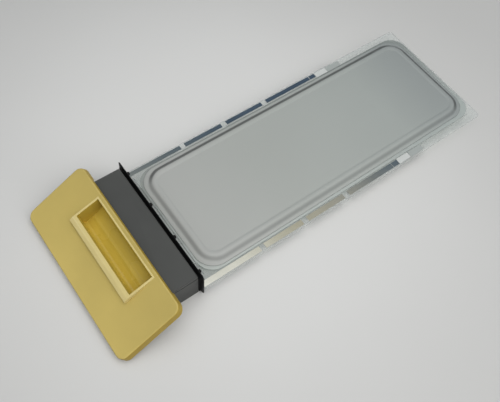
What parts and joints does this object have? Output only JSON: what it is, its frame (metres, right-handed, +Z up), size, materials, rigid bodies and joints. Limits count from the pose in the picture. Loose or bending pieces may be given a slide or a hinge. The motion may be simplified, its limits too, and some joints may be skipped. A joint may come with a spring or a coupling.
{
  "type": "negative carrier",
  "caption": "Drawer-like carrier for flat film: sloping pull plate with finger cup, hollow neck, light-seal flange, and a long clear sheet under a hinged cover with a raised window.",
  "frame": {"origin": "centre of the neck's flat underside", "axes": "+X from the handle to the far end of the film sheet, +Y to its left, +Z up out of the sheet"},
  "size_m": [0.3352, 0.1302, 0.0299],
  "materials": {
    "handle_yellow": "moulded plastic, fine even texture, soft sheen",
    "neck_grey": "moulded plastic, fine even texture",
    "flange_black": "black moulded plastic, dull",
    "seal_rubber": "black rubber, dull",
    "aluminium": "plain milled",
    "steel": "plain zinc-plated",
    "clear_sheet": "clear, polished",
    "clear_leaf": "clear, polished",
    "index_foil": "metallised film, mirror-like",
    "pale_pad": "printed, satin",
    "grey_pad": "printed, satin",
    "window_grey": "thermoformed film, satin"
  },
  "bodies": {
    "carrier": {"handle_plate": "handle_yellow", "finger_cup": "handle_yellow", "neck_body": "neck_grey", "neck_cover": "neck_grey", "handle_screw_1": "steel", "handle_screw_2": "steel", "handle_screw_3": "steel", "handle_screw_4": "steel", "neck_screw_left": "steel", "neck_screw_right": "steel", "seal_flange": "flange_black", "light_seal": "seal_rubber", "seal_rivet_1": "flange_black", "seal_rivet_2": "flange_black", "seal_rivet_3": "flange_black", "seal_rivet_4": "flange_black", "clamp_bar_lower": "aluminium", "clamp_bar_upper": "aluminium", "clamp_screw_1": "steel", "clamp_screw_2": "steel", "clamp_screw_3": "steel", "base_sheet": "clear_sheet", "index_strip_left_1": "index_foil", "index_strip_left_2": "index_foil", "index_strip_left_3": "index_foil", "index_strip_left_4": "index_foil", "index_strip_right_1": "index_foil", "index_strip_right_2": "index_foil", "index_strip_right_3": "index_foil", "index_strip_right_4": "index_foil", "strip_tail_left": "index_foil", "strip_tail_right": "index_foil", "pale_pad_left": "pale_pad", "pale_pad_right": "pale_pad", "grey_pad_left": "grey_pad", "grey_pad_right": "grey_pad", "hinge_rail": "clear_leaf", "hinge_pin": "steel"},
    "cover": {"cover_leaf": "clear_leaf", "window_pad": "window_grey"}
  },
  "joints": [
    {"name": "cover_hinge", "type": "hinge", "parent": "carrier", "child": "cover", "pos_m": [0.036, 0, 0.0112], "axis": [0, -1, 0], "range_deg": [0, 72]}
  ]
}
